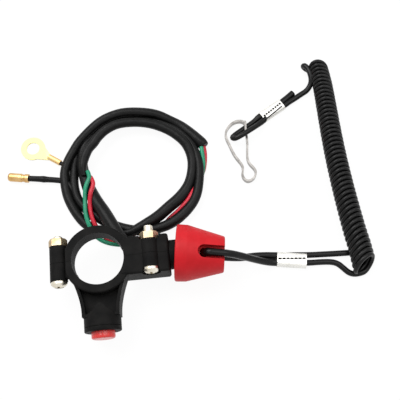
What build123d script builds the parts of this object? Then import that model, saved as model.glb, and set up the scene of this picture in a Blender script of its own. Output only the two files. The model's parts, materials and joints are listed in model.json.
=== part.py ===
"""Handlebar engine kill switch with a push button, a pull-off tether cap and its coiled lanyard.

Millimetres. The origin is the centre of the handlebar clamp's bore, half way through its thickness.
+Z runs along the handlebar, +X points at the tether cap and -Y at the push button. The part lies on
a flat surface at table_z, as it is put down: cords are laid out as (x, y, height above the surface).
"""

from build123d import *

import math
import os

os.makedirs("parts", exist_ok=True)

# Handlebar clamp
bar_dia = 22.2
ring_wall = 3.5
ring_thickness = 9.0
ring_flat_x = 13.4
ring_edge_r = 0.7
split_gap = 0.1

# Tether cap, which lies on the surface and so sets its height below the switch axis
switch_z = -2.1
cap_base_r = 12.4
cap_end_r = 7.8
cap_rim = 4.8
cap_rim_taper = 0.15
cap_length = 21.0
cap_lean_deg = 8.0
cap_roll_deg = 6.0
cap_edge_r = 0.8
cap_slot_width = 5.5
cap_slot_floor = 4.6
cap_hole_at = 12.3
cap_hole_r = 2.0
cap_mouth_r = 7.3
cap_mouth_depth = 2.0
cap_bore_gap = 0.3

# Switch box
box_left = 9.0
box_right = 30.3
box_half_depth = 8.2
box_bottom = -9.6
box_top = 4.8
box_edge_r = 1.1
box_wall = 2.1
cavity_left = 13.4
cavity_half_depth = 5.2
cavity_bottom = -7.4
cavity_top = 0.4

# Clamp screws and nuts, M4
screw_dia = 4.0
screw_hole_gap = 0.15
head_dia = 7.0
head_height = 2.6
recess_width = 1.0
recess_span = 3.8
recess_depth = 1.3
head_edge = 1.0
head_crown = 0.5
screw_tip_chamfer = 0.4
nut_flats = 7.0
nut_height = 3.2
thread_gap = 0.05
left_boss_x = -17.2
left_boss_r = 3.75
left_boss_half = 7.7
left_web_half = 6.4
left_web_height = 4.0
left_stub = 1.3
right_boss_x = 22.2
right_boss_z = 3.1
right_boss_r = 3.7
right_boss_front = 6.0
right_boss_back = 6.3
right_stub = 2.9
pocket_gap = 0.4

# Arm between the clamp and the push button
arm_thickness = 10.4
arm_rim = 1.4
arm_web = 2.6
arm_flare = [(12.6, -4.0), (10.6, -10.0), (8.6, -16.6)]
arm_foot = 24.0
arch_peak = 18.9
arch_foot = 22.9
arch_shoulder = (3.6, -21.9)

# Push button
barrel_r = 7.8
barrel_wall = 1.6
barrel_mouth = 28.0
bezel_thickness = 2.0
bezel_edge_r = 0.5
bezel_spigot = 0.9
bezel_lip = 1.1
button_proud = 2.9
button_edge_r = 0.9
button_gap = 0.1
button_travel = 1.2
flange_gap = 0.4
button_flange = 0.7
button_stem_r = 1.3
button_rest_gap = 0.1
contact_thickness = 0.4
contact_gap = 0.1
contact_inset = 0.3
base_thickness = 0.9
terminal_pin_r = 0.9
terminal_pin_inset = 1.6
terminal_proud = 0.6
stem_gap = 0.3

# Tether switch inside the box
post_flange = 0.9
post_neck_r = 4.0
post_collar_r = 6.4
post_collar_end = 33.4
post_stem_r = 2.9
ball_r = 4.2
ball_x = 37.6
ball_gap = 0.06
ball_depth = 4.6
plunger_r = 1.5
plunger_gap = 0.06
plunger_proud = 0.3
plunger_travel = 2.4
shoulder_r = 2.2
shoulder_thickness = 1.0
tail_r = 1.1
bridge_thickness = 0.5
bridge_half_width = 4.4
bridge_height = 4.0
blade_thickness = 0.4
blade_inner = 2.6
blade_gap = 0.5
seat_thickness = 1.6
seat_x = 15.4
fit_gap = 0.1
spring_wire = 0.4
wire_play = 0.01
plunger_spring_r = 1.9
plunger_spring_turns = 6
button_spring_share = 0.55
button_spring_turns = 2
button_spring_wire = 0.3

# Cords
lanyard_dia = 2.7
guard_dia = 3.2
loop_dia = 2.6
coil_dia = 9.8
run_dia = 4.6
sleeve_dia = 4.2
wire_dia = 2.0
shrink_dia = 2.5
arc_share = 0.45
groove_gap = 0.05
sleeve_groove_gap = 0.1

# Crimps, hook and terminals
cap_crimp_size = (6.9, 3.8)
hook_crimp_size = (5.9, 3.4)
hook_strip = 0.9
hook_width = 2.6
hook_bridge = (2.85, 4.0)
harness_inner_r = 25.0
harness_width = 8.0
harness_height = 7.0
harness_edge_r = 2.2
harness_centre = (15.7, 44.5)
harness_hole_centre = (16.4, 42.6)
ring_terminal_r = 5.7
ring_terminal_hole_r = 3.1
ring_terminal_thickness = 0.8
ring_terminal_neck = 2.4
ring_terminal_root = 8.0
ring_neck_inset = 2.28
ring_neck_lap = 0.5
ring_barrel_r = 1.35
ring_barrel_length = 6.6
bullet_r = 2.0
bullet_length = 9.7
bullet_waist_r = 1.75
bullet_collar = 1.6
bullet_waist = 0.8
bullet_step = 0.5
bullet_tip_r = 0.8
bullet_heading = (-9.5, 1.7)

# Sizes that follow from those above
bore_r = bar_dia / 2
ring_outer_r = bore_r + ring_wall
table_z = switch_z - cap_base_r
cap_lean = math.radians(cap_lean_deg)
cap_axis = Vector(math.cos(cap_lean), -math.sin(cap_lean), 0)
cap_up = Vector(0, 0, 1).rotate(Axis((0, 0, 0), cap_axis), cap_roll_deg)
ball_centre = Vector(ball_x, 0, switch_z)
cap_base = ball_centre - cap_axis * ball_depth
cap_bore_depth = ball_depth + ball_r + plunger_proud + cap_bore_gap
screw_r = screw_dia / 2
screw_hole_r = screw_r + screw_hole_gap
barrel_bore_r = barrel_r - barrel_wall
button_hole_r = barrel_bore_r - bezel_lip
button_r = button_hole_r - button_gap
button_flange_r = barrel_bore_r - flange_gap
terminal_pin_x = button_flange_r - terminal_pin_inset
button_spring_room = terminal_pin_x - terminal_pin_r - button_stem_r
button_spring_r = button_stem_r + button_spring_room * button_spring_share
barrel_root = arch_peak - split_gap
bezel_spigot_end = barrel_mouth - bezel_spigot
button_flange_front = bezel_spigot_end - button_rest_gap
button_flange_back = button_flange_front - button_flange
contact_back = button_flange_back - contact_thickness
terminal_tip = contact_back - button_travel - contact_gap
base_front = terminal_tip - terminal_proud
base_back = base_front - base_thickness
button_tip = barrel_mouth + bezel_thickness + button_proud
nose_x = ball_x + ball_r + plunger_proud
flange_x = box_right - box_wall - post_flange
blade_x = flange_x - blade_gap - blade_thickness
bridge_x = blade_x - contact_gap - plunger_travel - bridge_thickness
shoulder_x = bridge_x - shoulder_thickness
spring_x = seat_x + seat_thickness

BUTTON_AXIS = Axis((0, 0, switch_z), (0, 1, 0))
SWITCH_AXIS = Axis((0, 0, switch_z), (1, 0, 0))


def lay(points):
    """Points given as x, y and height above the surface, in the part's frame."""
    return [Vector(x, y, table_z + height) for x, y, height in points]


def y_disc(x, z, radius, y_low, y_high, mode=Mode.ADD):
    """A cylinder parallel to Y, added to or cut from the part that is being built."""
    with BuildSketch(Plane((x, y_low, z), x_dir=(1, 0, 0), z_dir=(0, 1, 0))) as disc:
        Circle(radius)
    extrude(disc.sketch, amount=y_high - y_low, mode=mode)


def block(x_low, x_high, y_low, y_high, z_low, z_high, mode=Mode.ADD):
    """A box given by its low and high faces."""
    centre = ((x_low + x_high) / 2, (y_low + y_high) / 2, (z_low + z_high) / 2)
    with Locations(centre):
        Box(x_high - x_low, y_high - y_low, z_high - z_low, mode=mode)


def turned(plane, axis, outline, mode=Mode.ADD):
    """A turned shape from a closed outline in the given plane."""
    with BuildSketch(plane) as profile:
        with BuildLine():
            Polyline(*outline, close=True)
        make_face()
    revolve(profile.sketch, axis=axis, mode=mode)


def add_clamp():
    """Box, ring, screw bosses and their webs, both halves together."""
    block(box_left, box_right, -box_half_depth, box_half_depth, box_bottom, box_top)
    fillet(edges(), radius=box_edge_r)
    half = ring_thickness / 2
    with BuildSketch(Plane.XZ) as ring_section:
        with Locations(((bore_r + ring_outer_r) / 2 - 0.5, 0)):
            Rectangle(ring_wall + 1, ring_thickness)
        fillet(vertices().group_by(Axis.X)[-1], radius=ring_edge_r)
    revolve(ring_section.sketch, axis=Axis.Z)
    block(-ring_outer_r - 1, -ring_flat_x, -ring_outer_r, ring_outer_r, -half, half, Mode.SUBTRACT)
    y_disc(left_boss_x, 0, left_boss_r, -left_boss_half, left_boss_half)
    block(
        left_boss_x, -bore_r - 1, -left_web_half, left_web_half, -left_web_height / 2, left_web_height / 2
    )
    y_disc(right_boss_x, right_boss_z, right_boss_r, -right_boss_front, right_boss_back)


def cut_clamp():
    """Bore, switch cavity, screw holes and pockets, and the groove for the harness sleeve."""
    Cylinder(bore_r, 60, mode=Mode.SUBTRACT)
    block(
        cavity_left,
        box_right - box_wall,
        -cavity_half_depth,
        cavity_half_depth,
        cavity_bottom,
        cavity_top,
        Mode.SUBTRACT,
    )
    y_disc(left_boss_x, 0, screw_hole_r, -left_boss_half - 1, left_boss_half + 1, Mode.SUBTRACT)
    y_disc(right_boss_x, right_boss_z, screw_hole_r, -box_half_depth, box_half_depth, Mode.SUBTRACT)
    head_pocket_r = head_dia / 2 + pocket_gap
    nut_pocket_r = nut_flats / math.sqrt(3) + pocket_gap
    y_disc(
        right_boss_x, right_boss_z, head_pocket_r, -box_half_depth - 1, -right_boss_front, Mode.SUBTRACT
    )
    y_disc(
        right_boss_x, right_boss_z, nut_pocket_r, right_boss_back, box_half_depth + 1, Mode.SUBTRACT
    )
    post_hole = post_neck_r + fit_gap
    with BuildSketch(Plane.YZ.offset(box_right - box_wall - 1)) as post_opening:
        with Locations((0, switch_z)):
            Circle(post_hole)
    extrude(post_opening.sketch, amount=box_wall + 2, mode=Mode.SUBTRACT)
    entry, outside = lay(harness_run[:2])
    with BuildSketch(Plane(entry, z_dir=outside - entry)) as groove:
        Circle(run_dia / 2 + sleeve_groove_gap)
    extrude(groove.sketch, amount=(outside - entry).length * 2, mode=Mode.SUBTRACT)


def arm_outline(height, inset=0.0):
    """The arm's outline seen along the handlebar, or its pocket's, which ends at the barrel's arch."""
    foot = arch_foot if inset else arm_foot
    right = [(x - inset, y) for x, y in arm_flare + [(barrel_r, -foot)]]
    left = [(-x, y) for x, y in right]
    arch = [right[-1], arch_shoulder, (0, -arch_peak), (-arch_shoulder[0], arch_shoulder[1]), left[-1]]
    with BuildSketch(Plane.XY.offset(height)) as outline:
        with BuildLine():
            Spline(*right, tangents=((-0.2, -1), (0, -1)))
            Spline(*left, tangents=((0.2, -1), (0, -1)))
            Line(left[0], right[0])
            if inset:
                Spline(*arch)
            else:
                Line(right[-1], left[-1])
        make_face()
        if inset:
            Circle(ring_outer_r, mode=Mode.SUBTRACT)
    return outline.sketch


# Cord routes that are not coiled: x, y and height above the surface

harness_run = [
    (13.6, 5.2, 7.55),
    (9.3, 11.1, 7.55),
    (5.0, 18.4, 7.0),
    (1.6, 26.0, 5.6),
    (-1.8, 33.4, 4.4),
    (-5.0, 41.5, 3.4),
    (-8.4, 47.5, 2.6),
]
sleeve_tail = [(44.4, 62.2, 2.3), (48.4, 58.4, 2.3), (51.8, 54.4, 2.3)]
wire_green_right = [(50.6, 54.2, 3.1), (50.4, 48.8, 2.6), (49.2, 44.0, 2.5), (46.2, 40.4, 2.6)]
wire_red_right = [(51.8, 54.6, 1.4), (52.3, 49.0, 1.1), (51.0, 43.9, 1.1), (48.0, 39.6, 1.1)]
wire_green_left = [
    (-5.0, 45.0, 7.2),
    (-4.5, 41.6, 7.8),
    (-5.2, 38.0, 7.8),
    (-6.6, 34.6, 6.2),
    (-7.4, 30.9, 2.4),
    (-7.2, 26.4, 1.2),
    (-5.6, 20.6, 1.1),
    (-0.6, 14.8, 1.1),
    (6.0, 12.0, 1.1),
    (13.0, 12.8, 1.1),
]
wire_red_left = [
    (-2.9, 44.4, 7.4),
    (-1.9, 40.6, 8.2),
    (-2.5, 36.4, 8.2),
    (-4.3, 32.6, 7.2),
    (-5.2, 29.2, 2.4),
    (-4.7, 25.6, 1.2),
    (-3.0, 21.0, 1.1),
    (1.2, 16.8, 1.1),
    (6.6, 14.3, 1.1),
    (12.3, 15.0, 1.1),
]
ring_wire = [(-17.4, 52.2, 1.5), (-15.2, 50.3, 1.5), (-13.4, 48.0, 1.7)]
bullet_wire = [(-32.2, 45.6, 2.0), (-23.6, 44.3, 1.8), (-15.0, 42.5, 2.0)]
lanyard_front = [
    (45.22, -1.07, 12.4),
    (45.12, -1.81, 19.46),
    (50.8, -2.7, 19.4),
    (56.5, -3.4, 17.6),
    (62.5, -4.2, 12.6),
    (68.0, -4.9, 7.4),
    (73.0, -5.5, 3.4),
    (77.6, -5.9, 1.9),
]
lanyard_back = [
    (45.22, -1.07, 12.4),
    (45.32, -0.33, 5.34),
    (50.8, -1.2, 5.3),
    (56.3, -2.0, 4.4),
    (62.0, -2.2, 2.3),
    (67.6, -1.7, 1.65),
    (72.9, -2.0, 1.7),
    (77.8, -2.7, 1.9),
]
lanyard_tail = [(90.7, -4.8, 1.8), (97.3, -4.2, 1.4), (103.6, -3.9, 1.4), (109.6, -3.4, 1.4)]
coil_lead = [
    (90.4, -8.0, 1.8),
    (95.9, -7.3, 1.4),
    (101.2, -7.5, 1.4),
    (105.5, -9.9, 1.4),
    (109.3, -13.9, 1.4),
    (112.9, -14.3, 2.2),
    (115.3, -11.6, 3.6),
    (115.9, -8.6, 4.6),
]
lanyard_coil = [
    (115.8, -8.8, 5.0),
    (113.9, 5.0, 5.0),
    (112.3, 20.0, 5.0),
    (111.3, 40.0, 5.0),
    (111.1, 62.0, 5.0),
    (111.8, 82.0, 5.0),
    (111.3, 92.0, 5.0),
]
hook_lead = [
    (108.6, 85.4, 1.9),
    (106.4, 86.7, 1.4),
    (104.5, 88.7, 1.4),
    (103.7, 91.2, 1.8),
    (104.6, 93.2, 3.2),
    (106.2, 91.9, 4.8),
    (106.6, 88.6, 4.8),
    (106.2, 85.0, 4.2),
    (105.8, 82.2, 2.6),
    (104.0, 79.2, 1.4),
    (101.0, 76.5, 1.4),
    (97.4, 74.4, 1.4),
    (94.4, 72.8, 1.5),
    (91.5, 70.8, 1.7),
]
hook_tail = [(89.9, 73.1, 1.7), (93.3, 75.6, 1.5), (96.5, 78.3, 1.4)]
hook_loop = [
    (79.5, 66.9, 1.7),
    (76.9, 64.7, 1.5),
    (74.1, 62.9, 1.4),
    (69.5, 60.2, 1.4),
    (66.2, 58.2, 1.5),
    (64.4, 56.2, 2.8),
    (65.9, 54.9, 4.6),
    (69.1, 56.0, 5.6),
    (73.1, 58.3, 5.3),
    (77.2, 61.2, 3.4),
    (80.9, 64.4, 1.7),
]

# Clamp and switch housing, lower half with the arm and the button's barrel

with BuildPart() as lower_housing:
    add_clamp()
    arm_bottom = switch_z - arm_thickness / 2
    extrude(arm_outline(arm_bottom), amount=arm_thickness, dir=(0, 0, 1))
    y_disc(0, switch_z, barrel_r, -barrel_mouth, -barrel_root)
    web_top = switch_z + arm_web / 2
    extrude(arm_outline(web_top, arm_rim), amount=barrel_r, dir=(0, 0, 1), mode=Mode.SUBTRACT)
    extrude(
        arm_outline(web_top - arm_web - barrel_r, arm_rim),
        amount=barrel_r,
        dir=(0, 0, 1),
        mode=Mode.SUBTRACT,
    )
    y_disc(0, switch_z, barrel_bore_r, -barrel_mouth, -base_back, Mode.SUBTRACT)
    cut_clamp()
    split(bisect_by=Plane.XZ.offset(split_gap / 2), keep=Keep.TOP)
lower_housing.part.label = "lower_housing"
export_step(lower_housing.part, "parts/lower_housing.step")

with BuildPart() as upper_housing:
    add_clamp()
    cut_clamp()
    split(bisect_by=Plane.XZ.offset(-split_gap / 2), keep=Keep.BOTTOM)
upper_housing.part.label = "upper_housing"
export_step(upper_housing.part, "parts/upper_housing.step")

# Clamp screws, with their heads towards the button and their nuts behind


def add_screw(x, z, head_y, tip_y):
    """A pan head screw along +Y, with a cross recess in its head."""
    front = head_y - head_height
    with BuildSketch(Plane.YZ.offset(x)) as head:
        with BuildLine():
            Polyline((head_y, z), (head_y, z + head_dia / 2), (head_y - head_edge, z + head_dia / 2))
            ThreePointArc(
                (head_y - head_edge, z + head_dia / 2),
                (front + head_crown, z + head_dia / 4 + head_crown),
                (front, z),
            )
            Line((front, z), (head_y, z))
        make_face()
    revolve(head.sketch, axis=Axis((x, 0, z), (0, 1, 0)))
    y_disc(x, z, screw_r, head_y, tip_y)
    chamfer(faces().sort_by(Axis.Y)[-1].edges(), length=screw_tip_chamfer)
    for width, height in ((recess_width, recess_span), (recess_span, recess_width)):
        block(
            x - width / 2,
            x + width / 2,
            front - 1,
            front + recess_depth,
            z - height / 2,
            z + height / 2,
            Mode.SUBTRACT,
        )


def add_nut(x, z, seat_y):
    """A hexagon nut with chamfered corners, its thread left plain."""
    corner_r = nut_flats / math.sqrt(3)
    with BuildSketch(Plane((x, seat_y, z), x_dir=(1, 0, 0), z_dir=(0, 1, 0))) as hexagon:
        RegularPolygon(corner_r, 6)
        Circle(screw_r + thread_gap, mode=Mode.SUBTRACT)
    extrude(hexagon.sketch, amount=nut_height)
    bevel = corner_r - nut_flats / 2
    turned(
        Plane.YZ.offset(x),
        Axis((x, 0, z), (0, 1, 0)),
        [
            (seat_y, z),
            (seat_y, z + corner_r),
            (seat_y + nut_height - bevel, z + corner_r),
            (seat_y + nut_height, z + nut_flats / 2),
            (seat_y + nut_height, z),
        ],
        Mode.INTERSECT,
    )


with BuildPart() as clamp_screw_left:
    add_screw(left_boss_x, 0, -left_boss_half, left_boss_half + nut_height + left_stub)
clamp_screw_left.part.label = "clamp_screw_left"
export_step(clamp_screw_left.part, "parts/clamp_screw_left.step")

with BuildPart() as clamp_screw_right:
    add_screw(
        right_boss_x, right_boss_z, -right_boss_front, right_boss_back + nut_height + right_stub
    )
clamp_screw_right.part.label = "clamp_screw_right"
export_step(clamp_screw_right.part, "parts/clamp_screw_right.step")

with BuildPart() as clamp_nut_left:
    add_nut(left_boss_x, 0, left_boss_half)
clamp_nut_left.part.label = "clamp_nut_left"
export_step(clamp_nut_left.part, "parts/clamp_nut_left.step")

with BuildPart() as clamp_nut_right:
    add_nut(right_boss_x, right_boss_z, right_boss_back)
clamp_nut_right.part.label = "clamp_nut_right"
export_step(clamp_nut_right.part, "parts/clamp_nut_right.step")

# Push button: bezel, button, contact washer, spring, base and contact pins

with BuildPart() as button_bezel:
    turned(
        Plane.YZ,
        BUTTON_AXIS,
        [
            (-barrel_mouth - bezel_thickness, switch_z + button_hole_r),
            (-barrel_mouth - bezel_thickness, switch_z + barrel_r),
            (-barrel_mouth, switch_z + barrel_r),
            (-barrel_mouth, switch_z + barrel_bore_r - groove_gap),
            (-bezel_spigot_end, switch_z + barrel_bore_r - groove_gap),
            (-bezel_spigot_end, switch_z + button_hole_r),
        ],
    )
    rims = edges().filter_by(GeomType.CIRCLE).filter_by(lambda e: abs(e.radius - barrel_r) < 0.01)
    fillet(rims, radius=bezel_edge_r)
button_bezel.part.label = "button_bezel"
export_step(button_bezel.part, "parts/button_bezel.step")

with BuildPart() as kill_button:
    turned(
        Plane.YZ,
        BUTTON_AXIS,
        [
            (-button_tip, switch_z),
            (-button_tip, switch_z + button_r),
            (-button_flange_front, switch_z + button_r),
            (-button_flange_front, switch_z + button_flange_r),
            (-button_flange_back, switch_z + button_flange_r),
            (-button_flange_back, switch_z + button_stem_r),
            (-terminal_tip, switch_z + button_stem_r),
            (-terminal_tip, switch_z),
        ],
    )
    fillet(faces().sort_by(Axis.Y)[0].edges(), radius=button_edge_r)
kill_button.part.label = "kill_button"
export_step(kill_button.part, "parts/kill_button.step")

with BuildPart() as button_contact:
    y_disc(0, switch_z, button_flange_r - contact_inset, -button_flange_back, -contact_back)
    y_disc(
        0, switch_z, button_stem_r + groove_gap, -button_flange_back - 1, -contact_back + 1, Mode.SUBTRACT
    )
button_contact.part.label = "button_contact"
export_step(button_contact.part, "parts/button_contact.step")

with BuildPart() as button_base:
    y_disc(0, switch_z, barrel_bore_r - groove_gap, -base_front, -base_back)
    y_disc(0, switch_z, button_stem_r + stem_gap, -base_front - 1, -base_back + 1, Mode.SUBTRACT)
    for side in (-1, 1):
        y_disc(
            side * terminal_pin_x,
            switch_z,
            terminal_pin_r,
            -base_front - 1,
            -base_back + 1,
            Mode.SUBTRACT,
        )
button_base.part.label = "button_base"
export_step(button_base.part, "parts/button_base.step")

with BuildPart() as button_pins:
    for side in (-1, 1):
        y_disc(side * terminal_pin_x, switch_z, terminal_pin_r, -terminal_tip, -base_back)
button_pins.part.label = "button_pins"
export_step(button_pins.part, "parts/button_pins.step")


def add_spring(start, direction, length, coil_r, turns, wire_thickness):
    """A compression spring of round wire between two flat seats."""
    wire_r = wire_thickness / 2
    rise = length - wire_thickness
    first = start + direction * wire_r
    with BuildLine() as coil:
        Helix(pitch=rise / turns, height=rise, radius=coil_r, center=first, direction=direction)
    with BuildSketch(Plane(coil.line @ 0, z_dir=coil.line % 0)) as wire:
        Circle(wire_r - wire_play)
    sweep(wire.sketch, path=coil.line, is_frenet=True)


with BuildPart() as button_spring:
    add_spring(
        Vector(0, -base_front, switch_z),
        Vector(0, -1, 0),
        contact_back - base_front,
        button_spring_r,
        button_spring_turns,
        button_spring_wire,
    )
button_spring.part.label = "button_spring"
export_step(button_spring.part, "parts/button_spring.step")

# Tether switch: post, plunger, bridge, spring, its seat and the two contact blades

with BuildPart() as tether_post:
    block(
        flange_x,
        flange_x + post_flange,
        -cavity_half_depth + fit_gap,
        cavity_half_depth - fit_gap,
        cavity_bottom + fit_gap,
        cavity_top - fit_gap,
    )
    ball_meets_stem = ball_x - math.sqrt(ball_r**2 - post_stem_r**2)
    with BuildSketch(Plane.XZ):
        with BuildLine():
            Polyline(
                (ball_x + ball_r, switch_z),
                (flange_x, switch_z),
                (flange_x, switch_z + post_stem_r),
                (flange_x + post_flange, switch_z + post_stem_r),
                (flange_x + post_flange, switch_z + post_neck_r),
                (box_right + fit_gap, switch_z + post_neck_r),
                (box_right + fit_gap, switch_z + post_collar_r),
                (post_collar_end, switch_z + post_collar_r),
                (post_collar_end, switch_z + post_stem_r),
                (ball_meets_stem, switch_z + post_stem_r),
            )
            ThreePointArc(
                (ball_meets_stem, switch_z + post_stem_r),
                (ball_x, switch_z + ball_r),
                (ball_x + ball_r, switch_z),
            )
        make_face()
    revolve(axis=SWITCH_AXIS)
    with BuildSketch(Plane.YZ.offset(flange_x - 1)):
        with Locations((0, switch_z)):
            Circle(plunger_r + plunger_gap)
    extrude(amount=nose_x, mode=Mode.SUBTRACT)
tether_post.part.label = "tether_post"
export_step(tether_post.part, "parts/tether_post.step")

with BuildPart() as plunger:
    with BuildSketch(Plane.XZ):
        with BuildLine():
            Polyline(
                (nose_x, switch_z),
                (spring_x + 0.6, switch_z),
                (spring_x + 0.6, switch_z + tail_r),
                (shoulder_x, switch_z + tail_r),
                (shoulder_x, switch_z + shoulder_r),
                (bridge_x, switch_z + shoulder_r),
                (bridge_x, switch_z + plunger_r),
                (nose_x - plunger_r, switch_z + plunger_r),
            )
            RadiusArc(
                (nose_x - plunger_r, switch_z + plunger_r), (nose_x, switch_z), plunger_r
            )
        make_face()
    revolve(axis=SWITCH_AXIS)
plunger.part.label = "plunger"
export_step(plunger.part, "parts/plunger.step")

with BuildPart() as plunger_bridge:
    block(
        bridge_x,
        bridge_x + bridge_thickness,
        -bridge_half_width,
        bridge_half_width,
        switch_z - bridge_height / 2,
        switch_z + bridge_height / 2,
    )
    with BuildSketch(Plane.YZ.offset(bridge_x - 1)):
        with Locations((0, switch_z)):
            Circle(plunger_r + groove_gap)
    extrude(amount=bridge_thickness + 2, mode=Mode.SUBTRACT)
plunger_bridge.part.label = "plunger_bridge"
export_step(plunger_bridge.part, "parts/plunger_bridge.step")

with BuildPart() as spring_seat:
    block(
        seat_x,
        spring_x,
        -cavity_half_depth + fit_gap,
        cavity_half_depth - fit_gap,
        cavity_bottom + blade_thickness + fit_gap,
        cavity_top - fit_gap,
    )
spring_seat.part.label = "spring_seat"
export_step(spring_seat.part, "parts/spring_seat.step")

with BuildPart() as plunger_spring:
    add_spring(
        Vector(spring_x, 0, switch_z),
        Vector(1, 0, 0),
        shoulder_x - spring_x,
        plunger_spring_r - spring_wire / 2,
        plunger_spring_turns,
        spring_wire,
    )
plunger_spring.part.label = "plunger_spring"
export_step(plunger_spring.part, "parts/plunger_spring.step")

for side, name in ((1, "tether_blade_back"), (-1, "tether_blade_front")):
    inner, outer = sorted((side * blade_inner, side * bridge_half_width))
    with BuildPart() as tether_blade:
        block(
            seat_x + fit_gap,
            blade_x + blade_thickness,
            inner,
            outer,
            cavity_bottom,
            cavity_bottom + blade_thickness,
        )
        block(
            blade_x,
            blade_x + blade_thickness,
            inner,
            outer,
            cavity_bottom,
            switch_z + bridge_height / 2,
        )
    tether_blade.part.label = name
    export_step(tether_blade.part, f"parts/{name}.step")

# Tether cap: a tapered cap with a slot above and below, and a cross hole for the lanyard

with BuildPart() as tether_cap:
    side_plane = Plane(cap_base, x_dir=cap_axis, z_dir=cap_axis.cross(Vector(0, 0, 1)))
    turned(
        side_plane,
        Axis(cap_base, cap_axis),
        [
            (cap_bore_depth, 0),
            (cap_bore_depth, ball_r + ball_gap),
            (cap_mouth_depth, ball_r + ball_gap),
            (cap_mouth_depth, cap_mouth_r),
            (0, cap_mouth_r),
            (0, cap_base_r),
            (cap_rim, cap_base_r - cap_rim_taper),
            (cap_length, cap_end_r),
            (cap_length, 0),
        ],
    )
    outer_rims = (
        edges()
        .filter_by(GeomType.CIRCLE)
        .filter_by(lambda e: e.radius > cap_base_r - 0.01 or abs(e.radius - cap_end_r) < 0.01)
    )
    fillet(outer_rims, radius=cap_edge_r)
    for up in (-1, 1):
        floor = Plane(
            cap_base + cap_up * up * cap_slot_floor, x_dir=cap_axis, z_dir=cap_up * up
        )
        with BuildSketch(floor):
            with Locations((cap_hole_at, 0)):
                Circle(cap_slot_width / 2)
            with Locations(((cap_hole_at + cap_length) / 2 + 1, 0)):
                Rectangle(cap_length - cap_hole_at + 2, cap_slot_width)
        extrude(amount=cap_base_r, mode=Mode.SUBTRACT)
    with BuildSketch(Plane(cap_base - cap_up * cap_base_r, x_dir=cap_axis, z_dir=cap_up)):
        with Locations((cap_hole_at, 0)):
            Circle(cap_hole_r)
    extrude(amount=2 * cap_base_r, mode=Mode.SUBTRACT)
tether_cap.part.label = "tether_cap"
export_step(tether_cap.part, "parts/tether_cap.step")

# Cords


def arc_radii(corners):
    """The largest tangent arc at each corner that its two runs leave room for."""
    runs = [b - a for a, b in zip(corners, corners[1:])]
    radii = []
    for before, after in zip(runs, runs[1:]):
        half_turn = math.radians(before.get_angle(after)) / 2
        radii.append(arc_share * min(before.length, after.length) / math.tan(half_turn))
    return radii


cords = {
    "harness_run": (harness_run, run_dia),
    "sleeve_tail": (sleeve_tail, sleeve_dia),
    "wire_green_right": (wire_green_right, wire_dia),
    "wire_red_right": (wire_red_right, wire_dia),
    "wire_green_left": (wire_green_left, wire_dia),
    "wire_red_left": (wire_red_left, wire_dia),
    "ring_wire": (ring_wire, wire_dia),
    "bullet_wire": (bullet_wire, shrink_dia),
    "lanyard_front": (lanyard_front, guard_dia),
    "lanyard_back": (lanyard_back, guard_dia),
    "lanyard_tail": (lanyard_tail, lanyard_dia),
    "coil_lead": (coil_lead, lanyard_dia),
    "lanyard_coil": (lanyard_coil, coil_dia),
    "hook_lead": (hook_lead, lanyard_dia),
    "hook_tail": (hook_tail, lanyard_dia),
    "hook_loop": (hook_loop, loop_dia),
}
for name, (route, diameter) in cords.items():
    corners = lay(route)
    radii = arc_radii(corners)
    with BuildPart() as cord:
        with BuildLine() as path:
            FilletPolyline(*corners, radius=radii)
        with BuildSketch(Plane(path.line @ 0, z_dir=path.line % 0)):
            Circle(diameter / 2)
        sweep(path=path.line)
    length = path.wire().length
    share = cord.part.volume / (math.pi * diameter**2 / 4 * length)
    print(name, round(length, 1), "mm, radii", [round(r, 1) for r in radii], "share", round(share, 3))
    cord.part.label = name
    export_step(cord.part, f"parts/{name}.step")

# The wound part of the harness: its turns lie side by side in one flat ring

with BuildPart() as harness_coil:
    with BuildSketch(Plane.XY.offset(table_z)):
        with Locations(harness_centre):
            Circle(harness_inner_r + harness_width)
        with Locations(harness_hole_centre):
            Circle(harness_inner_r, mode=Mode.SUBTRACT)
    extrude(amount=harness_height)
    fillet(edges().filter_by(GeomType.CIRCLE), radius=harness_edge_r)
harness_coil.part.label = "harness_coil"
export_step(harness_coil.part, "parts/harness_coil.step")

# Crimped ferrules on the lanyard, a flattened sleeve round two strands

crimps = {
    "cap_crimp": ((77.7, -4.3), (90.6, -6.4), cap_crimp_size),
    "hook_crimp": ((80.2, 65.7), (90.7, 71.9), hook_crimp_size),
}
for name, (near, far, size) in crimps.items():
    start = Vector(near[0], near[1], table_z + size[1] / 2)
    along = Vector(far[0] - near[0], far[1] - near[1], 0)
    section = Plane(start, x_dir=Vector(0, 0, 1).cross(along), z_dir=along)
    with BuildPart() as crimp:
        with BuildSketch(section):
            SlotOverall(*size)
        extrude(amount=along.length)
    crimp.part.label = name
    export_step(crimp.part, f"parts/{name}.step")

# Snap hook: one bent strip, with an eye, a nose and a springy gate

eye_and_back = [
    (71.8, 63.4),
    (70.8, 64.5),
    (68.3, 65.0),
    (64.4, 63.2),
    (61.8, 58.8),
    (62.8, 53.6),
    (65.5, 46.2),
    (67.9, 40.6),
]
nose_and_gate = [
    (67.9, 40.6),
    (67.3, 37.2),
    (69.3, 34.2),
    (72.6, 35.6),
    (73.6, 38.8),
    (71.3, 42.8),
    (71.1, 49.8),
    (71.3, 58.9),
]
eye_post_inner = (71.35, 63.95)
gate_post_inner = (71.28, 58.0)


def add_strip(curve, low, high):
    """A strip standing on edge along a curve, between two heights above the surface."""
    start = curve @ 0
    section = Plane((start.X, start.Y, table_z + low), x_dir=(0, 0, 1), z_dir=curve % 0)
    with BuildSketch(section) as cut:
        with Locations(((high - low) / 2, 0)):
            Rectangle(high - low, hook_strip)
    sweep(cut.sketch, path=curve)


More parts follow.
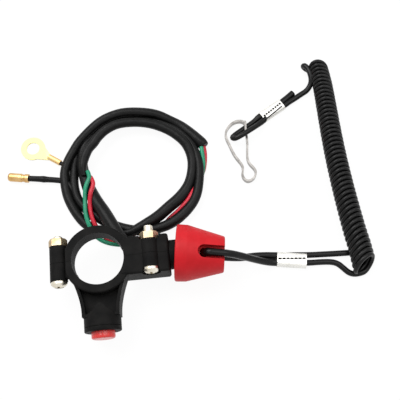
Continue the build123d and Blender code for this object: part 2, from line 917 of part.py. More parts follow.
bridge_low, bridge_high = hook_bridge
with BuildPart() as snap_hook:
    with BuildLine(Plane.XY.offset(table_z)) as bend:
        Spline(*eye_and_back, *nose_and_gate[1:])
    add_strip(bend.line, 0, hook_width)
    with BuildLine(Plane.XY.offset(table_z)) as bridge:
        Line(eye_and_back[0], nose_and_gate[-1])
    add_strip(bridge.line, bridge_low, bridge_high)
    for end, inner in ((eye_and_back[0], eye_post_inner), (nose_and_gate[-1], gate_post_inner)):
        with BuildLine(Plane.XY.offset(table_z)) as post:
            Line(end, inner)
        add_strip(post.line, 0, bridge_high)
snap_hook.part.label = "snap_hook"
export_step(snap_hook.part, "parts/snap_hook.step")

# Terminals on the harness wires

ring_centre = Vector(-30.3, 61.2, table_z)
ring_axis = (Vector(ring_wire[0][0], ring_wire[0][1], table_z) - ring_centre).normalized()
ring_reach = (Vector(ring_wire[0][0], ring_wire[0][1], table_z) - ring_centre).length
with BuildPart() as ring_terminal:
    with BuildSketch(Plane(ring_centre, x_dir=ring_axis, z_dir=(0, 0, 1))):
        Circle(ring_terminal_r)
        neck_start = ring_terminal_r - ring_neck_inset
        neck_end = ring_reach - ring_barrel_length + ring_neck_lap
        with BuildLine():
            Polyline(
                (neck_start, -ring_terminal_root / 2),
                (neck_end, -ring_terminal_neck / 2),
                (neck_end, ring_terminal_neck / 2),
                (neck_start, ring_terminal_root / 2),
                close=True,
            )
        make_face()
        Circle(ring_terminal_hole_r, mode=Mode.SUBTRACT)
    extrude(amount=ring_terminal_thickness)
    barrel_start = ring_centre + ring_axis * (ring_reach - ring_barrel_length)
    with BuildSketch(Plane(barrel_start + Vector(0, 0, ring_barrel_r), z_dir=ring_axis)):
        Circle(ring_barrel_r)
    extrude(amount=ring_barrel_length)
ring_terminal.part.label = "ring_terminal"
export_step(ring_terminal.part, "parts/ring_terminal.step")

bullet_end = Vector(bullet_wire[0][0], bullet_wire[0][1], table_z + bullet_r)
bullet_axis = Vector(*bullet_heading, 0).normalized()
waist_start = bullet_collar + bullet_step
waist_end = waist_start + bullet_waist
with BuildPart() as bullet_terminal:
    turned(
        Plane(bullet_end, x_dir=bullet_axis, z_dir=bullet_axis.cross(Vector(0, 0, 1))),
        Axis(bullet_end, bullet_axis),
        [
            (0, 0),
            (0, bullet_r),
            (bullet_collar, bullet_r),
            (waist_start, bullet_waist_r),
            (waist_end, bullet_waist_r),
            (waist_end + bullet_step, bullet_r),
            (bullet_length, bullet_r),
            (bullet_length, 0),
        ],
    )
    fillet(faces().sort_by(Axis.X)[0].edges(), radius=bullet_r - bullet_tip_r)
bullet_terminal.part.label = "bullet_terminal"
export_step(bullet_terminal.part, "parts/bullet_terminal.step")
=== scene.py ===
"""The looks of a handlebar engine kill switch with its lanyard and harness, lying on a pale floor.

Metres, in the frame of the CAD model: +Z along the handlebar, +X towards the tether cap, -Y towards the
push button. Cord routes repeat the points of the CAD part in millimetres, as x, y and height above the
floor, and lay() turns them into the model's frame.
"""

import json
import math

import bpy
from mathutils import Matrix, Vector


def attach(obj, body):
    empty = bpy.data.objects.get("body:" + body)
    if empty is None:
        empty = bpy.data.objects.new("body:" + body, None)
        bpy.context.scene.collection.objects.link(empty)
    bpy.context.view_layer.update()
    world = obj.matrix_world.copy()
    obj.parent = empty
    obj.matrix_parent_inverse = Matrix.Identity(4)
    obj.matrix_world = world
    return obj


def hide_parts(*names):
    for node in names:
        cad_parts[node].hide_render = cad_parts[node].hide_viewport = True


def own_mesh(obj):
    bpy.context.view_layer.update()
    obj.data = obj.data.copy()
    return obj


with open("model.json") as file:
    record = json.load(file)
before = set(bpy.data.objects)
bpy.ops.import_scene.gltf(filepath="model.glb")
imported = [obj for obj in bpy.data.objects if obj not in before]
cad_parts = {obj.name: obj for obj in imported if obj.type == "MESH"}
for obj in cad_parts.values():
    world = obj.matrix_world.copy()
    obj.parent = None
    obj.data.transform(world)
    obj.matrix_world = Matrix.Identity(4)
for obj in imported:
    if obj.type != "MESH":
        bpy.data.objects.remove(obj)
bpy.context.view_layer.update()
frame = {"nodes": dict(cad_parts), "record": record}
nodes = frame["nodes"]

MM = 0.001
TABLE_Z = -14.5 * MM

# Cords: diameters, and the curly part's turns from the cap's end to the hook's, in millimetres
LANYARD_DIA = 2.7
GUARD_DIA = 3.2
LOOP_DIA = 2.6
HOLE_FIT_DIA = 3.9
GUARD_END_DIA = 3.3
TAIL_DIA = 3.1
SLEEVE_DIA = 4.2
RUN_DIA = 5.2
RUN_WIDE = 6.2
RUN_WIDE_POINTS = range(2, 6)
WIRE_DIA = 2.0
SHRINK_DIA = 2.7
COIL_DIAS = (10.6, 9.2)
COIL_STRANDS = (2.2, 1.8)
COIL_PITCHES = (2.4, 1.95)
COIL_LEANS = ((0.65, 0.5), (-0.25, 0.6))
COIL_START = math.radians(-60)
STEPS_PER_TURN = 14

# Degrees between the points of a cord in the loose coil
WINDING_STEP = 20

# The photograph's camera: focal length and image size in pixels, distance and elevation
IMAGE_SIZE = 400
FOCAL_PX = 645.0
CAMERA_DISTANCE = 0.3
CAMERA_ELEVATION = math.radians(71.5)
PART_TURN = math.radians(5.8)
BORE_PIXEL = (97.3, 258.2)
BORE_HEIGHT = 19.0 * MM
SENSOR_MM = 36.0

# Noise in the materials: cells a metre for the colour and for the gloss, where in the noise the two
# colours blend, and how far the roughness swings
MOULDED_CLOUD = 180
MOULDED_BLEND = (0.35, 0.65)
MOULDED_GLOSS = 320
MOULDED_SWING = (-0.09, 0.09)
PLATED_CLOUD = 260
PLATED_BLEND = (0.3, 0.7)
PLATED_GLOSS = 700
PLATED_SWING = (-0.08, 0.12)
GLOSS_DETAIL = 4.0
GRAIN_DETAIL = 2.0

# Relief on metal: cells a metre and depth in metres
METAL_GRAIN = 900
METAL_DEPTH = 0.02 * MM

# Ring terminal: where its barrel starts along X in millimetres, and its looks before and after that
TIN_EDGE = (-24.5, -22.0)
TIN_FLAT = (0.95, 0.86, 0.38)
TIN_BARREL = (0.8, 0.55, 0.24)
TIN_METALLIC = (0.15, 0.9)
TIN_ROUGHNESS = 0.45

# Moulded finishes: dark and light colour, roughness, relief as on metal, and specular level
MOULDED = {
    "housing_black": ((0.008, 0.008, 0.008), (0.014, 0.0135, 0.013), 0.5, 2600, 0.00004, 0.04),
    "lanyard_black": ((0.004, 0.004, 0.004), (0.007, 0.007, 0.007), 0.24, 900, 0.00001, 0.2),
    "sleeve_black": ((0.004, 0.004, 0.004), (0.007, 0.007, 0.007), 0.36, 260, 0.00025, 0.15),
    "cap_red": ((0.6, 0.006, 0.012), (0.68, 0.01, 0.018), 0.5, 1500, 0.00003, 0.3),
    "button_red": ((0.8, 0.035, 0.03), (0.86, 0.05, 0.045), 0.22, 600, 0.000005, 0.5),
    "wire_green": ((0.004, 0.25, 0.13), (0.008, 0.33, 0.17), 0.4, 700, 0.00001, 0.5),
    "wire_red": ((0.6, 0.008, 0.03), (0.7, 0.014, 0.04), 0.4, 700, 0.00001, 0.5),
}
# Metal finishes: dark and light colour, roughness, and metallic and relief where they aren't the usual
PLATED = {
    "screw_steel": ((0.62, 0.56, 0.44), (0.86, 0.82, 0.72), 0.25),
    "nut_zinc": ((0.44, 0.31, 0.17), (0.74, 0.62, 0.43), 0.4),
    "crimp_silver": ((0.8, 0.79, 0.74), (0.95, 0.94, 0.9), 0.3, 0.55),
    "hook_steel": ((0.17, 0.16, 0.15), (0.42, 0.4, 0.38), 0.28, 0.9, 500, 0.000001),
    "terminal_brass": ((0.52, 0.3, 0.11), (0.8, 0.54, 0.25), 0.3),
    "contact_brass": ((0.7, 0.5, 0.22), (0.84, 0.64, 0.32), 0.3),
    "spring_steel": ((0.5, 0.5, 0.5), (0.66, 0.66, 0.66), 0.3),
}

# Floor, surround and lamps: middle in metres, glow where it is seen, and each lamp's place, size and power
MIDDLE = (0.04, 0.03)
FLOOR_SIZE = 6
FLOOR_DROP = 0.05 * MM
FLOOR_GREY = 0.86
FLOOR_GLOW = 1.04
FLOOR_GLOW_SHARE = 0.9
SURROUND_LIGHT = 0.38
SURROUND_SEEN = 1.0
LAMPS = (
    ("key", (-0.25, 0.35, 0.6), 0.5, 3.5),
    ("fill", (0.35, 0.1, 0.7), 0.6, 1.9),
)


def lay(x, y, height):
    """A point of a cord's route in the model's frame."""
    return Vector((x * MM, y * MM, TABLE_Z + height * MM))


# Materials


def principled(name, colour, roughness, metallic=0.0, specular=0.5):
    """A material with its shader node and tree at hand."""
    material = bpy.data.materials.new(name)
    material.use_nodes = True
    tree = material.node_tree
    shader = tree.nodes["Principled BSDF"]
    shader.inputs["Base Color"].default_value = (*colour, 1)
    shader.inputs["Roughness"].default_value = roughness
    shader.inputs["Metallic"].default_value = metallic
    shader.inputs["Specular IOR Level"].default_value = specular
    return material, tree, shader


def texture_space(tree, scale):
    """Object coordinates scaled to so many cells a metre."""
    coordinates = tree.nodes.new("ShaderNodeTexCoord")
    mapping = tree.nodes.new("ShaderNodeMapping")
    mapping.inputs["Scale"].default_value = (scale, scale, scale)
    tree.links.new(coordinates.outputs["Object"], mapping.inputs["Vector"])
    return mapping.outputs["Vector"]


def noise(tree, scale, detail=3.0):
    """Noise at so many cells a metre."""
    node = tree.nodes.new("ShaderNodeTexNoise")
    node.inputs["Scale"].default_value = 1.0
    node.inputs["Detail"].default_value = detail
    tree.links.new(texture_space(tree, scale), node.inputs["Vector"])
    return node.outputs["Fac"]


def ramp(tree, value, low, high, dark, light):
    """A blend of two colours as value goes from low to high."""
    node = tree.nodes.new("ShaderNodeValToRGB")
    first, last = node.color_ramp.elements
    first.position = low
    last.position = high
    first.color = (*dark, 1)
    last.color = (*light, 1)
    tree.links.new(value, node.inputs["Fac"])
    return node.outputs["Color"]


def spread(tree, value, low, high):
    """value, which is from 0 to 1, spread over the range from low to high."""
    node = tree.nodes.new("ShaderNodeMapRange")
    node.inputs["To Min"].default_value = low
    node.inputs["To Max"].default_value = high
    tree.links.new(value, node.inputs["Value"])
    return node.outputs["Result"]


def bump(tree, shader, height, depth):
    """Relief of so many metres on the shader."""
    node = tree.nodes.new("ShaderNodeBump")
    node.inputs["Distance"].default_value = depth
    tree.links.new(height, node.inputs["Height"])
    tree.links.new(node.outputs["Normal"], shader.inputs["Normal"])


def moulded(name, dark, light, roughness, grain, depth, specular):
    """Moulded plastic or rubber: a fine grain, uneven gloss and a slightly uneven colour."""
    material, tree, shader = principled(name, light, roughness, specular=specular)
    cloud = noise(tree, MOULDED_CLOUD)
    tree.links.new(ramp(tree, cloud, *MOULDED_BLEND, dark, light), shader.inputs["Base Color"])
    low, high = (roughness + swing for swing in MOULDED_SWING)
    gloss = spread(tree, noise(tree, MOULDED_GLOSS, GLOSS_DETAIL), low, high)
    tree.links.new(gloss, shader.inputs["Roughness"])
    bump(tree, shader, noise(tree, grain, GRAIN_DETAIL), depth)
    return material


def plated(name, dark, light, roughness, metallic=1.0, grain=METAL_GRAIN, depth=METAL_DEPTH):
    """Plated or bare metal with faint tool marks and tarnish."""
    material, tree, shader = principled(name, light, roughness, metallic=metallic)
    cloud = noise(tree, PLATED_CLOUD)
    tree.links.new(ramp(tree, cloud, *PLATED_BLEND, dark, light), shader.inputs["Base Color"])
    low, high = (roughness + swing for swing in PLATED_SWING)
    gloss = spread(tree, noise(tree, PLATED_GLOSS, GLOSS_DETAIL), low, high)
    tree.links.new(gloss, shader.inputs["Roughness"])
    bump(tree, shader, noise(tree, grain), depth)
    return material


def tinned(name):
    """The ring terminal: pale where it is flat and brassy at its barrel, which starts at TIN_EDGE."""
    material, tree, shader = principled(name, TIN_FLAT, TIN_ROUGHNESS)
    coordinates = tree.nodes.new("ShaderNodeTexCoord")
    split = tree.nodes.new("ShaderNodeSeparateXYZ")
    tree.links.new(coordinates.outputs["Object"], split.inputs["Vector"])
    share = tree.nodes.new("ShaderNodeMapRange")
    share.inputs["From Min"].default_value = TIN_EDGE[0] * MM
    share.inputs["From Max"].default_value = TIN_EDGE[1] * MM
    tree.links.new(split.outputs["X"], share.inputs["Value"])
    edge = share.outputs["Result"]
    tree.links.new(ramp(tree, edge, 0.0, 1.0, TIN_FLAT, TIN_BARREL), shader.inputs["Base Color"])
    tree.links.new(spread(tree, edge, *TIN_METALLIC), shader.inputs["Metallic"])
    bump(tree, shader, noise(tree, METAL_GRAIN), METAL_DEPTH)
    return material


finishes = {name: moulded(name, *looks) for name, looks in MOULDED.items()}
finishes.update({name: plated(name, *looks) for name, looks in PLATED.items()})
finishes["terminal_tin"] = tinned("terminal_tin")
for row in frame["record"]["subparts"]:
    mesh = nodes[row["node"]].data
    mesh.materials.clear()
    mesh.materials.append(finishes[row["material_slot"]])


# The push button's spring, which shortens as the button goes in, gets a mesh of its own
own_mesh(nodes["button_spring"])


# Cords


def cord_curve(name, points, diameter, slot, widths=None, sides=4):
    """A round cord along one smooth spline. widths are shares of its diameter, one for each point."""
    curve = bpy.data.curves.new(name, "CURVE")
    curve.dimensions = "3D"
    curve.resolution_u = 6
    curve.bevel_depth = diameter * MM / 2
    curve.bevel_resolution = sides
    curve.use_fill_caps = True
    spline = curve.splines.new("NURBS")
    spline.points.add(len(points) - 1)
    for index, place in enumerate(points):
        spline.points[index].co = (*place, 1)
        spline.points[index].radius = widths[index] if widths else 1.0
    spline.order_u = 3
    spline.use_endpoint_u = True
    curve.materials.append(finishes[slot])
    cord = bpy.data.objects.new(name, curve)
    bpy.context.scene.collection.objects.link(cord)
    return cord


def spline_points(points):
    """Points along the smooth spline that has these control points."""
    guide = cord_curve("guide", points, 0.0, "sleeve_black")
    mesh = bpy.data.meshes.new_from_object(guide)
    line = [vertex.co.copy() for vertex in mesh.vertices]
    bpy.data.objects.remove(guide)
    return line


def route_length(line):
    """Length of a line of points."""
    return sum((b - a).length for a, b in zip(line, line[1:]))


def helix(line, radii, pitches, leans, turn_start):
    """Control points of a helix round a line of points. Its radius, its pitch and how far its turns lean
    along the line, at the side and at the top, go from first to last."""
    length = route_length(line)
    count = round(2 * length / sum(pitches)) * STEPS_PER_TURN
    rises = [pitches[0] + (pitches[1] - pitches[0]) * (step + 0.5) / count for step in range(count)]
    whole = sum(rises)
    reach = 1 / math.cos(math.pi / STEPS_PER_TURN) ** 2
    places = []
    wanted = 0.0
    travelled = 0.0
    index = 0
    for step in range(count + 1):
        while index < len(line) - 2 and travelled + (line[index + 1] - line[index]).length < wanted:
            travelled += (line[index + 1] - line[index]).length
            index += 1
        along = (line[index + 1] - line[index]).normalized()
        place = line[index] + along * (wanted - travelled)
        across = along.cross(Vector((0, 0, 1))).normalized()
        angle = turn_start + 2 * math.pi * step / STEPS_PER_TURN
        radius = (radii[0] + (radii[1] - radii[0]) * wanted / length) * reach
        share = wanted / length
        side, top = (a + (b - a) * share for a, b in zip(*leans))
        ahead = along * (side * math.cos(angle) + top * math.sin(angle))
        turn = across * math.cos(angle) + Vector((0, 0, 1)) * math.sin(angle)
        places.append(place + (turn + ahead) * radius)
        if step < count:
            wanted += length * rises[step] / whole
    return places


def winding(centre, stations):
    """Points of a loose coil, one every WINDING_STEP degrees or so, and the cord's width at each."""
    places = []
    widths = []
    for here, there in zip(stations, stations[1:] + stations[-1:]):
        steps = max(1, round(abs(there[0] - here[0]) / WINDING_STEP))
        for step in range(steps):
            share = step / steps
            degrees, radius, height, width = (a + (b - a) * share for a, b in zip(here, there))
            angle = math.radians(degrees)
            widths.append(width)
            x = centre[0] + radius * math.cos(angle)
            y = centre[1] + radius * math.sin(angle)
            places.append(lay(x, y, height))
    return places, widths


LANYARD_FRONT = [
    (45.22, -1.07, 12.4),
    (45.12, -1.81, 19.46),
    (50.8, -2.7, 19.4),
    (56.5, -3.4, 17.6),
    (62.5, -4.2, 12.6),
    (68.0, -4.9, 7.4),
    (73.0, -5.5, 3.4),
    (77.6, -5.9, 1.9),
]
LANYARD_BACK = [
    (45.22, -1.07, 12.4),
    (45.32, -0.33, 5.34),
    (50.8, -1.2, 5.3),
    (56.3, -2.0, 4.4),
    (62.0, -2.2, 2.3),
    (67.6, -1.7, 1.65),
    (72.9, -2.0, 1.7),
    (77.8, -2.7, 1.9),
]
LANYARD_TAIL = [
    (91.9, -3.8, 1.8),
    (98.3, -4, 1.4),
    (104.6, -4.3, 1.4),
    (110.5, -4.5, 1.4),
    (112.6, -4.6, 1.4),
]
COIL_LEAD = [
    (91.3, -7.4, 1.8),
    (96.8, -7.4, 1.4),
    (101.8, -7.8, 1.4),
    (104.7, -8.9, 1.4),
    (106.8, -11.2, 1.4),
    (108.7, -13.4, 1.4),
    (110.7, -14.3, 1.4),
    (113.0, -14.4, 1.5),
    (115.6, -13.9, 1.9),
]
COIL_AXIS = [
    (115.3, -12, 5.4),
    (114.9, -6.1, 5.4),
    (114.5, -1.6, 5.4),
    (113.7, 4.8, 5.3),
    (112.2, 23.1, 5.2),
    (111.2, 44.3, 5),
    (111.3, 70, 4.9),
    (111.4, 80.6, 4.7),
    (110.7, 88.7, 4.6),
]
HOOK_LEAD = [
    (108.3, 87.2, 1.6),
    (106.4, 89.3, 1.4),
    (104.8, 90.6, 1.6),
    (103.9, 91, 3),
    (104.5, 90.4, 4.5),
    (105.7, 88.6, 4.7),
    (106.4, 85.8, 4.7),
    (106.7, 82.8, 4.2),
    (106.1, 80.3, 3),
    (104, 77.9, 1.8),
    (101, 76.5, 1.4),
    (97.4, 74.4, 1.4),
    (94.4, 72.8, 1.5),
    (91.5, 70.8, 1.7),
]
HOOK_LOOP = [
    (79.5, 66.9, 1.7),
    (76.9, 64.7, 1.5),
    (74.1, 62.9, 1.4),
    (69.5, 60.2, 1.4),
    (66.2, 58.2, 1.5),
    (64.4, 56.2, 2.8),
    (65.9, 54.9, 4.6),
    (69.1, 56.0, 5.6),
    (73.1, 58.3, 5.3),
    (77.2, 61.2, 3.4),
    (80.9, 64.4, 1.7),
]
HOOK_TAIL = [(90.2, 72.7, 1.7), (93.8, 75.0, 1.6), (97.1, 77.6, 1.5)]


def declare(cord, points, body, slot, nodes_replaced, **facts):
    """Rides and replaces for one cord, and measures its length from its own route."""
    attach(cord, body)
    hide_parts(*nodes_replaced)
    length = route_length(spline_points(points))


def make_lanyard():
    """The strand over the cap, the lead, the curly part, the far lead and the loop through the hook."""
    axis = spline_points([lay(*p) for p in COIL_AXIS])
    radii = [(whole - strand) / 2 * MM for whole, strand in zip(COIL_DIAS, COIL_STRANDS)]
    coil = helix(axis, radii, [pitch * MM for pitch in COIL_PITCHES], COIL_LEANS, COIL_START)
    start = [lay(*p) for p in LANYARD_FRONT + COIL_LEAD]
    far = [lay(*p) for p in HOOK_LEAD + HOOK_LOOP + HOOK_TAIL]
    points = start + coil + far
    first, last = COIL_STRANDS
    dias = [HOLE_FIT_DIA] * 2 + [GUARD_DIA] * (len(LANYARD_FRONT) - 3) + [GUARD_END_DIA]
    dias += [LANYARD_DIA] * len(COIL_LEAD)
    dias += [first + (last - first) * step / len(coil) for step in range(len(coil))]
    dias += [LANYARD_DIA] * len(HOOK_LEAD)
    dias += [GUARD_END_DIA] + [LOOP_DIA] * (len(HOOK_LOOP) - 2) + [GUARD_END_DIA]
    dias += [TAIL_DIA] * len(HOOK_TAIL)
    widths = [diameter / LANYARD_DIA for diameter in dias]
    cord = cord_curve("lanyard_cord", points, LANYARD_DIA, "lanyard_black", widths, 3)
    replaced = ("lanyard_front", "coil_lead", "lanyard_coil", "hook_lead", "hook_loop", "hook_tail")
    declare(
        cord,
        points,
        "tether",
        "lanyard_black",
        replaced,
        diameter=LANYARD_DIA * MM,
        far_end="bare",
        stiffness="medium",
        lay="loose",
        with_pieces=[nodes["cap_crimp"], nodes["hook_crimp"], nodes["snap_hook"]],
    )


def make_lanyard_return():
    """The strand under the cap, through the ferrule, to its cut end beside the curly part."""
    points = [lay(*p) for p in LANYARD_BACK + LANYARD_TAIL]
    dias = [GUARD_DIA] * (len(LANYARD_BACK) - 1) + [GUARD_END_DIA] + [LANYARD_DIA] * len(LANYARD_TAIL)
    widths = [diameter / LANYARD_DIA for diameter in dias]
    cord = cord_curve("lanyard_return", points, LANYARD_DIA, "lanyard_black", widths)
    declare(
        cord,
        points,
        "tether",
        "lanyard_black",
        ("lanyard_back", "lanyard_tail"),
        diameter=LANYARD_DIA * MM,
        far_end="bare",
        stiffness="medium",
        lay="loose",
    )


# Painted shade in the ferrules' pressed dents and in the hook ferrule's seam, as thin black boxes: the
# ends and height of each row, how many, and their size
CRIMP_DENT_SHADES = (
    ("cap", (77.7, -4.4), (90.7, -5.6), 3.8, 7, (1.5, 0.8)),
    ("hook", (80.4, 65.3), (90.5, 72.2), 3.4, 8, (1.0, 0.85)),
    ("hook_seam_shade", (81.7, 63.9), (90.3, 70.0), 3.6, 2, (5.4, 0.6)),
)
DENT_SHADE_MARGIN = 1.2
DENT_SHADE_THICKNESS = 0.12


def make_dent_shades():
    """Rows of thin black boxes on the two ferrules: painted shade in their pressed dents and seam."""
    for name, near, far, height, count, (long, wide) in CRIMP_DENT_SHADES:
        start, end = lay(*near, height), lay(*far, height)
        along = (end - start).normalized()
        turn = along.to_track_quat("X", "Z").to_matrix().to_4x4()
        margin = max(DENT_SHADE_MARGIN, long / 2) * MM
        reach = (end - start).length - 2 * margin
        for index in range(count):
            place = start + along * (margin + reach * index / (count - 1))
            bpy.ops.mesh.primitive_cube_add(size=1)
            dent_shade = bpy.context.object
            dent_shade.name = f"{name}_dent_{index + 1}"
            size = Matrix.Diagonal((long * MM, wide * MM, DENT_SHADE_THICKNESS * MM, 1))
            dent_shade.matrix_world = Matrix.Translation(place) @ turn @ size
            # Black: the painted shade of a pressed dent or of the seam
            dent_shade.data.materials.append(finishes["lanyard_black"])
            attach(dent_shade, "tether")


COIL_CENTRE = (16.0, 44.5)
HARNESS_RUN = [
    (13.6, 5.2, 7.55),
    (9.3, 11.1, 7.55),
    (5.8, 17, 7),
    (2.5, 23.9, 5.8),
    (-1.2, 30.2, 4.6),
    (-4.1, 36.4, 3.8),
    (-6.1, 42.9, 3.2),
    (-7, 49.1, 2.6),
]
# Degrees, radius, height and width: over the top, down the right side and round to the left again
RUN_TURN = [
    (158, 24.9, 2.2, 1.1),
    (148, 26.1, 2.1, 1),
    (137, 26.7, 2.1, 1),
    (110, 26.4, 2.1, 1),
    (80, 27.2, 2.1, 1),
    (60, 27.6, 2.1, 1),
    (30, 30.4, 2.3, 1),
    (19, 30.9, 2.8, 1),
    (8, 31.3, 3.2, 1),
    (-1, 31.6, 3.4, 1),
    (-13, 31.9, 3.6, 1.05),
    (-30, 33.2, 3.6, 1.1),
    (-60, 32.3, 3.4, 1.2),
    (-90, 29.6, 2.6, 1.1),
    (-111, 27.9, 2.1, 1.1),
    (-130, 27.3, 2.1, 1.2),
    (-152, 28.7, 2.1, 1),
    (-169, 27.9, 2.1, 1),
    (-184, 27, 2.1, 1),
    (-196, 27.4, 1.7, 0.8),
    (-206, 27.8, 1.2, 0.5),
]
# From the cut end back over the top, round the left, the bottom and the right to the top again
SLEEVE_TURN = [
    (14.3, 36.2, 2.6, 1),
    (15.4, 36, 2.6, 1.35),
    (22, 34.4, 2.5, 1.35),
    (31, 33, 2.4, 1.3),
    (40, 32.3, 2.3, 1.15),
    (50, 31.1, 2.6, 1.1),
    (65, 30.5, 4.4, 1.1),
    (90, 29.4, 5, 1.1),
    (120, 28.8, 5, 1.1),
    (144, 29.1, 3.4, 1.1),
    (155, 29.6, 2.4, 1.1),
    (165, 30.7, 2.1, 1.1),
    (174, 31.5, 2.1, 1.1),
    (182, 31.7, 2.1, 1.1),
    (199, 32.3, 2.1, 1.1),
    (218, 32.8, 2.1, 1.1),
    (230, 33.2, 2.1, 1.1),
    (262, 31.2, 2.1, 1.1),
    (280, 27.6, 4.4, 1.2),
    (293, 26.3, 3.6, 1.3),
    (308, 25.3, 3.4, 1.3),
    (321, 26.3, 3.4, 1.35),
    (332, 27.2, 3.4, 1.3),
    (342, 27.9, 3.3, 1.2),
    (353, 28.2, 3.2, 1.1),
    (364, 28.8, 3.4, 1.1),
    (375, 28.7, 4, 1.1),
    (386, 28.1, 4.6, 1.1),
    (405, 26.2, 4.8, 1.1),
    (430, 24.6, 5, 1.1),
    (459, 23.9, 6, 1.1),
    (477, 23.3, 6.2, 1.1),
    (492, 22.4, 6.4, 1.1),
    (500, 21.7, 6.5, 1.1),
    (509, 22.4, 6.6, 1.1),
    (517, 22.4, 6.6, 1.1),
    (525, 22.5, 6.4, 1.05),
    (535, 22.6, 6.2, 0.9),
    (544, 22, 5.8, 0.6),
]
GREEN_WIRE = [
    (49.5, 54.3, 3),
    (49.5, 50.2, 3.4),
    (49.7, 47.2, 3.2),
    (49.7, 44.3, 2.6),
    (48.9, 40.5, 1.4),
    (47.6, 37.4, 1),
    (45.6, 34.3, 1),
    (43.6, 29.1, 1),
    (40.4, 24.3, 1),
    (36.3, 20.1, 1),
    (31.9, 17.2, 1),
    (26.6, 14.4, 1),
    (19.5, 10.3, 1),
    (10.8, 9.3, 1),
    (4.5, 10.3, 1.1),
    (-0.2, 12.4, 1.1),
    (-3.1, 15.2, 2),
    (-4.6, 18.5, 4.2),
    (-5.6, 21.9, 5.2),
    (-6.1, 24.9, 5.6),
    (-6.1, 28.2, 5.8),
    (-5.9, 31.4, 6.2),
    (-5.7, 34.5, 7),
    (-5, 37.2, 7.7),
    (-3.9, 39.4, 7.8),
    (-3, 41.6, 7.6),
    (-4.1, 44.6, 6.4),
]
RED_WIRE = [
    (50.6, 54.3, 2),
    (51, 51.2, 1.8),
    (50.8, 48.2, 1.6),
    (50.4, 45.3, 1.4),
    (49.4, 41.4, 1.1),
    (47.4, 38.6, 1),
    (44.4, 36.3, 1.6),
    (43.7, 33, 3),
    (42.7, 29.9, 3.9),
    (40.8, 27, 4.1),
    (38.2, 24.5, 3.7),
    (35.3, 22.3, 2.4),
    (32.2, 20.5, 1.4),
    (29.5, 17.9, 1),
    (24.9, 15.5, 1),
    (18.7, 11.8, 1),
    (11.8, 10.9, 1),
    (6.4, 11.3, 1.1),
    (2.4, 12.9, 1.1),
    (-0.3, 15.9, 2),
    (-1.9, 18.5, 4.2),
    (-3.1, 21.6, 5.2),
    (-3.7, 24.6, 5.7),
    (-3.9, 27.9, 6),
    (-3.6, 30.9, 7.2),
    (-2.9, 33.7, 8.3),
    (-1.9, 36.3, 7.8),
    (-1.5, 38.8, 7.6),
    (-2.9, 41.7, 6.4),
]
# Each lead comes out of the first sleeve, which ends at the left
RING_LEAD = [
    (-2.9, 22.0, 2.0),
    (-6.4, 25.7, 2.0),
    (-9.2, 30.0, 2.0),
    (-11.3, 34.6, 2.0),
    (-12.3, 39.5, 2.3),
    (-12.2, 44.5, 2.2),
    (-14.6, 49.8, 1.6),
    (-17.4, 52.2, 1.35),
]
BULLET_LEAD = [
    (-6.2, 25.4, 2.2),
    (-9.0, 29.8, 2.2),
    (-11.1, 34.4, 2.3),
    (-12.4, 39.0, 2.7),
    (-15.0, 42.5, 2.2),
    (-19.4, 43.6, 1.8),
    (-23.6, 44.3, 1.8),
    (-25.4, 44.6, 1.9),
    (-27.2, 44.9, 1.9),
    (-32.2, 45.6, 2.0),
]
# Shares of the shrink tube's diameter, with a bulge near the terminal
BULLET_WIDTHS = [0.7, 0.7, 0.7, 0.8, 1.0, 1.0, 1.0, 1.22, 1.0, 1.0]


def make_harness():
    """Both sleeves, the bare wires between them and the two wires to the terminals."""
    turn, turn_widths = winding(COIL_CENTRE, RUN_TURN)
    run = [lay(*p) for p in HARNESS_RUN] + turn
    run_dias = [RUN_WIDE if index in RUN_WIDE_POINTS else RUN_DIA for index in range(len(HARNESS_RUN))]
    widths = [diameter / SLEEVE_DIA for diameter in run_dias] + turn_widths
    first = cord_curve("harness_sleeve", run, SLEEVE_DIA, "sleeve_black", widths)
    declare(
        first,
        run,
        "housing",
        "sleeve_black",
        ("harness_run", "harness_coil"),
        diameter=SLEEVE_DIA * MM,
        far_end="bare",
        stiffness="medium",
        lay="coiled",
    )
    wound, widths = winding(COIL_CENTRE, SLEEVE_TURN)
    second = cord_curve("outer_sleeve", wound, SLEEVE_DIA, "sleeve_black", widths)
    declare(
        second,
        wound,
        "housing",
        "sleeve_black",
        ("sleeve_tail",),
        diameter=SLEEVE_DIA * MM,
        far_end="bare",
        stiffness="medium",
        lay="coiled",
    )
    bare_wires = (
        ("green_wire", GREEN_WIRE, "wire_green"),
        ("red_wire", RED_WIRE, "wire_red"),
    )
    for name, route, slot in bare_wires:
        points = [lay(*p) for p in route]
        wire = cord_curve(name, points, WIRE_DIA, slot)
        declare(
            wire,
            points,
            "housing",
            slot,
            (f"{slot}_left", f"{slot}_right"),
            diameter=WIRE_DIA * MM,
            far_end="object",
            stiffness="limp",
            lay="coiled",
        )
    leads = (
        ("ring_lead", RING_LEAD, WIRE_DIA, [1.0] * len(RING_LEAD), "ring_wire", "ring_terminal"),
        ("bullet_lead", BULLET_LEAD, SHRINK_DIA, BULLET_WIDTHS, "bullet_wire", "bullet_terminal"),
    )
    for name, route, diameter, widths, node, terminal in leads:
        points = [lay(*p) for p in route]
        lead = cord_curve(name, points, diameter, "sleeve_black", widths)
        declare(
            lead,
            points,
            "housing",
            "sleeve_black",
            (node,),
            diameter=diameter * MM,
            far_end="connector",
            stiffness="medium",
            lay="loose",
            with_pieces=[nodes[terminal]],
        )


def seen_rays(tree):
    """1 for rays from the camera and those that metal and glass send on, else 0."""
    path = tree.nodes.new("ShaderNodeLightPath")
    seen = path.outputs["Is Camera Ray"]
    for name in ("Is Glossy Ray", "Is Transmission Ray"):
        either = tree.nodes.new("ShaderNodeMath")
        either.operation = "MAXIMUM"
        tree.links.new(seen, either.inputs[0])
        tree.links.new(path.outputs[name], either.inputs[1])
        seen = either.outputs["Value"]
    return seen


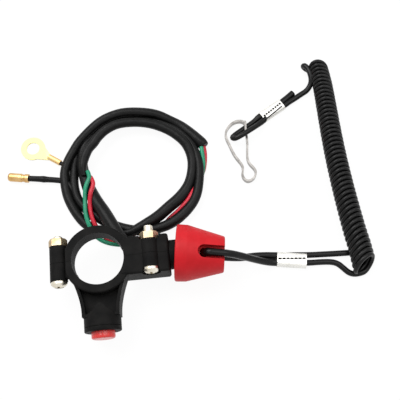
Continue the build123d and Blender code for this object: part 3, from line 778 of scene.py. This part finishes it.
def make_floor():
    """A pale floor that looks white to the camera and keeps the object's shadow."""
    bpy.ops.mesh.primitive_plane_add(size=FLOOR_SIZE, location=(*MIDDLE, TABLE_Z - FLOOR_DROP))
    floor = bpy.context.object
    floor.name = "floor"
    material = bpy.data.materials.new("floor_white")
    material.use_nodes = True
    tree = material.node_tree
    shader = tree.nodes["Principled BSDF"]
    shader.inputs["Base Color"].default_value = (FLOOR_GREY, FLOOR_GREY, FLOOR_GREY, 1)
    shader.inputs["Roughness"].default_value = 0.9
    glow = tree.nodes.new("ShaderNodeEmission")
    glow.inputs["Strength"].default_value = FLOOR_GLOW
    share = tree.nodes.new("ShaderNodeMath")
    share.operation = "MULTIPLY"
    share.inputs[1].default_value = FLOOR_GLOW_SHARE
    tree.links.new(seen_rays(tree), share.inputs[0])
    mix = tree.nodes.new("ShaderNodeMixShader")
    tree.links.new(share.outputs["Value"], mix.inputs["Fac"])
    tree.links.new(shader.outputs["BSDF"], mix.inputs[1])
    tree.links.new(glow.outputs["Emission"], mix.inputs[2])
    tree.links.new(mix.outputs["Shader"], tree.nodes["Material Output"].inputs["Surface"])
    floor.data.materials.append(material)


def make_world():
    """An even surround that looks white and gives a softer light."""
    world = bpy.data.worlds.new("studio")
    bpy.context.scene.world = world
    world.use_nodes = True
    tree = world.node_tree
    background = tree.nodes["Background"]
    background.inputs["Color"].default_value = (1, 1, 1, 1)
    brightness = tree.nodes.new("ShaderNodeMapRange")
    brightness.inputs["To Min"].default_value = SURROUND_LIGHT
    brightness.inputs["To Max"].default_value = SURROUND_SEEN
    tree.links.new(seen_rays(tree), brightness.inputs["Value"])
    tree.links.new(brightness.outputs["Result"], background.inputs["Strength"])


def make_lamps():
    """Square soft lamps aimed at the middle of the object."""
    aim = Vector((*MIDDLE, TABLE_Z))
    for name, place, size, power in LAMPS:
        light = bpy.data.lights.new(name, "AREA")
        light.size = size
        light.energy = power
        lamp = bpy.data.objects.new(name, light)
        lamp.location = place
        lamp.rotation_euler = (aim - Vector(place)).to_track_quat("-Z", "Y").to_euler()
        bpy.context.scene.collection.objects.link(lamp)


def make_camera():
    """The photograph's camera: the part is turned in view, and the clamp's bore falls on its pixel."""
    sine, cosine = math.sin(CAMERA_ELEVATION), math.cos(CAMERA_ELEVATION)
    forward = Vector((0, cosine, -sine))
    upward = Vector((0, sine, cosine))
    right = Vector((1, 0, 0))
    eye = -forward * CAMERA_DISTANCE
    half = IMAGE_SIZE / 2
    across, down = ((pixel - half) / FOCAL_PX for pixel in BORE_PIXEL)
    ray = right * across - upward * down + forward
    bore = eye + ray * ((BORE_HEIGHT - eye.z) / ray.z)
    turn = Matrix.Rotation(-PART_TURN, 3, "Z")
    place = turn @ (eye - Vector((bore.x, bore.y, 0)))
    place.z = eye.z + TABLE_Z
    look = Matrix((turn @ right, turn @ upward, turn @ -forward)).transposed()
    data = bpy.data.cameras.new("camera")
    data.sensor_width = SENSOR_MM
    data.lens = FOCAL_PX / IMAGE_SIZE * SENSOR_MM
    data.clip_start = 0.01
    camera = bpy.data.objects.new("camera", data)
    camera.matrix_world = Matrix.Translation(place) @ look.to_4x4()
    bpy.context.scene.collection.objects.link(camera)
    bpy.context.scene.camera = camera


make_lanyard()
make_lanyard_return()
make_dent_shades()
make_harness()
make_floor()
make_world()
make_lamps()
make_camera()
bpy.context.scene.view_settings.view_transform = "Standard"
